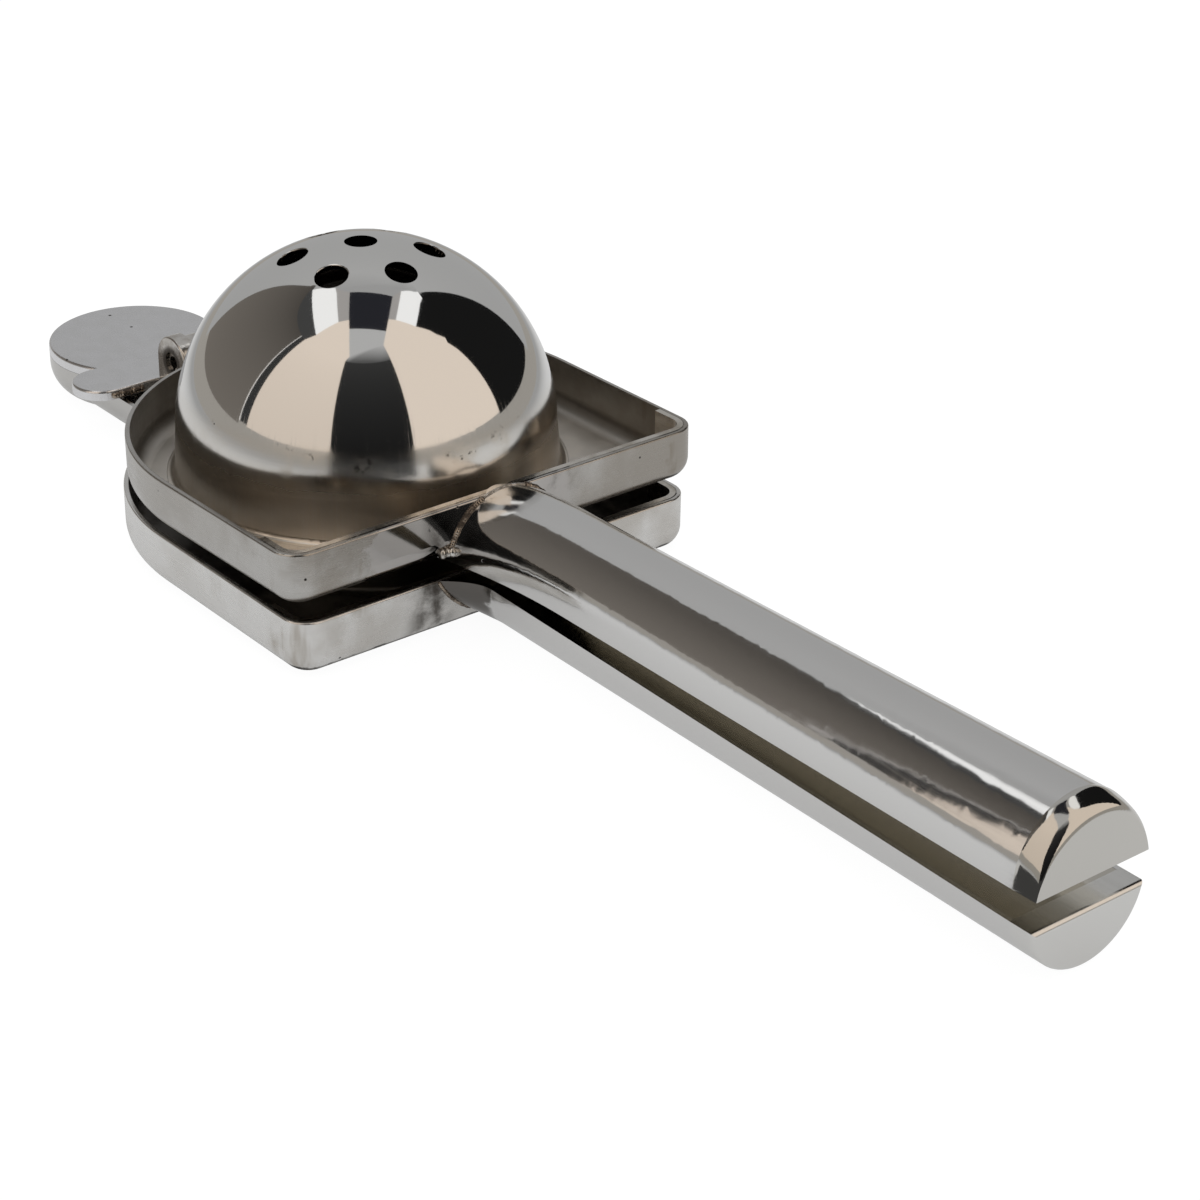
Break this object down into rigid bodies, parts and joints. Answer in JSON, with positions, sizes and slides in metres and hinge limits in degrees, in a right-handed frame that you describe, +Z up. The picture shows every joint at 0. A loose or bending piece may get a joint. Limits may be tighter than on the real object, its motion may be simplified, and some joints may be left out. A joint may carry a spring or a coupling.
{
  "type": "hinged lemon squeezer",
  "caption": "Stainless lever squeezer: a press dome and a perforated bowl in two D-shaped pans, hinged at the back, with hollow half-round grips.",
  "frame": {"origin": "under the middle of the length, in the plane that the press half lies on", "axes": "+X from the hinge towards the grips, +Z up out of the pans, +Y to the left of the grips as seen from the hinge"},
  "size_m": [0.2744, 0.0872, 0.0555],
  "materials": {
    "polished_steel": "mirror polished",
    "satin_steel": "satin, stained",
    "hinge_steel": "worn satin"
  },
  "bodies": {
    "press": {"press_pan": "satin_steel", "press_dome": "polished_steel", "press_front_strip": "satin_steel", "press_grip_shell": "polished_steel", "press_grip_plate": "satin_steel", "press_end_cap": "polished_steel", "tail_shell": "polished_steel", "tail_plate": "satin_steel", "left_hinge_ear": "hinge_steel", "right_hinge_ear": "hinge_steel", "hinge_pin": "hinge_steel"},
    "strainer": {"strainer_pan": "satin_steel", "strainer_dome": "polished_steel", "strainer_front_strip": "satin_steel", "strainer_grip_shell": "polished_steel", "strainer_grip_plate": "satin_steel", "strainer_end_cap": "polished_steel", "hinge_barrel": "hinge_steel", "hinge_arm": "hinge_steel"}
  },
  "joints": [
    {"name": "strainer_hinge", "type": "hinge", "parent": "press", "child": "strainer", "pos_m": [-0.09535, 0, 0.0152], "axis": [0, -1, 0], "range_deg": [0, 140]}
  ]
}
